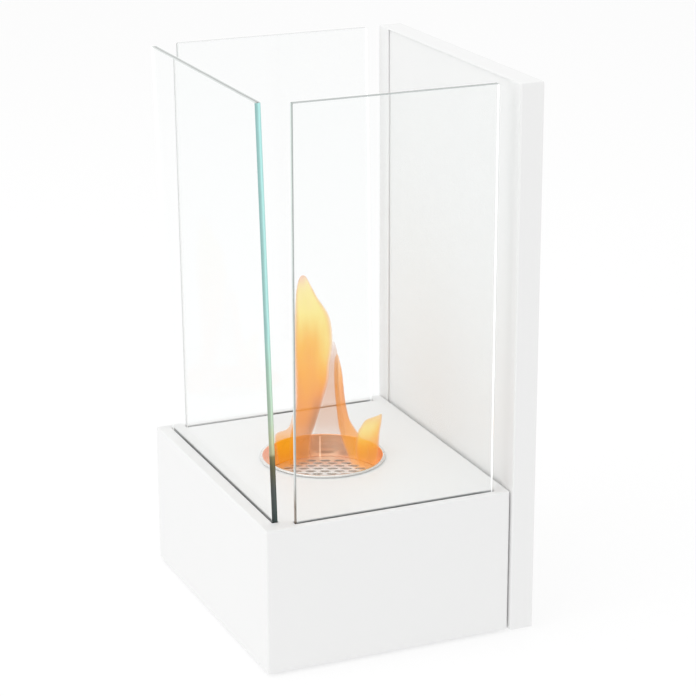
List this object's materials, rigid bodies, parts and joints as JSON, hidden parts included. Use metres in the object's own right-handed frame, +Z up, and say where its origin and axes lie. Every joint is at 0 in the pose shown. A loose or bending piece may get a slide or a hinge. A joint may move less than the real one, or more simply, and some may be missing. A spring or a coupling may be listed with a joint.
{
  "type": "bioethanol fireplace",
  "caption": "Table-top bioethanol fireplace: folded steel base with a round burner cup, loose clear glass panes on the open sides and a tall hollow back panel.",
  "frame": {"origin": "bottom centre of the whole object's box, on the plane the feet stand on", "axes": "+Z up, -Y out of the low front of the base, +Y out of the back panel, +X to the right of someone facing the front"},
  "size_m": [0.286, 0.2494, 0.4932],
  "materials": {
    "white_paint": "satin powder coat",
    "zinc_steel": "zinc plated",
    "stainless_steel": "drawn, bright",
    "clear_glass": "tempered, polished edges",
    "ceramic_wool": "matt fibre",
    "rubber": "matt",
    "silicone": "matt"
  },
  "bodies": {
    "housing": {"base_casing": "white_paint", "base_bottom_plate": "zinc_steel", "bottom_screw_front_left": "zinc_steel", "bottom_screw_front_right": "zinc_steel", "bottom_screw_back_left": "zinc_steel", "bottom_screw_back_right": "zinc_steel", "foot_front_left": "rubber", "foot_front_right": "rubber", "foot_back_left": "rubber", "foot_back_right": "rubber", "front_channel": "zinc_steel", "left_channel": "zinc_steel", "right_channel": "zinc_steel", "front_seat_strip": "silicone", "left_seat_strip": "silicone", "right_seat_strip": "silicone", "panel_casing": "white_paint", "panel_liner": "white_paint", "panel_back_cover": "white_paint", "panel_rail_left": "zinc_steel", "panel_rail_right": "zinc_steel", "cover_screw_left_1": "zinc_steel", "cover_screw_left_2": "zinc_steel", "cover_screw_left_3": "zinc_steel", "cover_screw_right_1": "zinc_steel", "cover_screw_right_2": "zinc_steel", "cover_screw_right_3": "zinc_steel", "joining_nut_lower_left": "zinc_steel", "joining_nut_lower_right": "zinc_steel", "joining_nut_upper_left": "zinc_steel", "joining_nut_upper_right": "zinc_steel", "joining_screw_lower_left": "zinc_steel", "joining_screw_lower_right": "zinc_steel", "joining_screw_upper_left": "zinc_steel", "joining_screw_upper_right": "zinc_steel"},
    "front_glass": {"front_pane": "clear_glass"},
    "left_glass": {"left_pane": "clear_glass"},
    "right_glass": {"right_pane": "clear_glass"},
    "burner": {"burner_cup": "stainless_steel", "burner_mesh": "stainless_steel", "burner_wool": "ceramic_wool"}
  },
  "joints": [
    {"name": "front_pane_lift", "type": "slide", "parent": "housing", "child": "front_glass", "axis": [0, -0.0286, 0.9996], "range_m": [0, 0.39]},
    {"name": "left_pane_lift", "type": "slide", "parent": "housing", "child": "left_glass", "axis": [-0.0286, 0, 0.9996], "range_m": [0, 0.39]},
    {"name": "right_pane_lift", "type": "slide", "parent": "housing", "child": "right_glass", "axis": [0, 0, 1], "range_m": [0, 0.39]},
    {"name": "burner_lift", "type": "slide", "parent": "housing", "child": "burner", "axis": [0, 0, 1], "range_m": [0, 0.44]}
  ]
}
